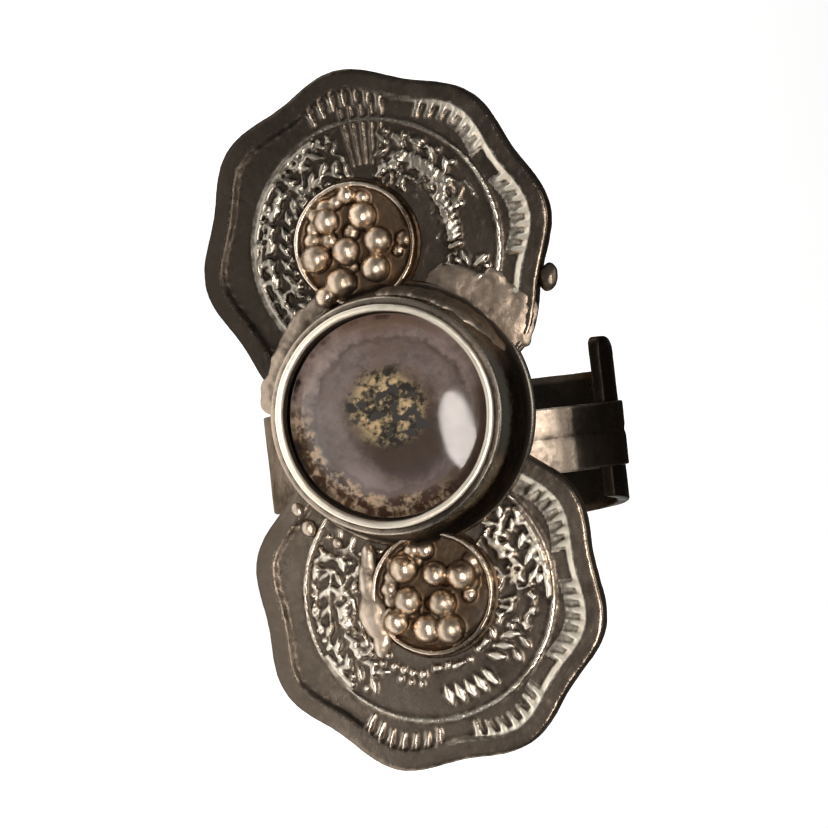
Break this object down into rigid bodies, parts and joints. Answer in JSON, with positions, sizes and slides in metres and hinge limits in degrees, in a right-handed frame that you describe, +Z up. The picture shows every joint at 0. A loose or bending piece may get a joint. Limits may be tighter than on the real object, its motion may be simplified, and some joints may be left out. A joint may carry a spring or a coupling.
{
  "type": "coin ring",
  "caption": "Finger ring of scalloped coins joined side by side across a sheet band, with a tall round collet holding a glass cabochon and cups of granules.",
  "frame": {"origin": "centre of the bounding box in plan, at the floor that the ring rests on", "axes": "the ring lies on its left side: +X runs along the coins from the fingertip end to the knuckle end, -Y comes out of the ring's face, +Z is up"},
  "size_m": [0.0448, 0.0309, 0.024],
  "materials": {
    "metal": "tarnished silver, darker in the hollows",
    "backing": "lacquer filler faced with crumpled foil",
    "stone": "polished, faintly violet"
  },
  "bodies": {
    "root": {"ring_metal": "metal", "backing": "backing", "stone": "stone"}
  },
  "joints": []
}
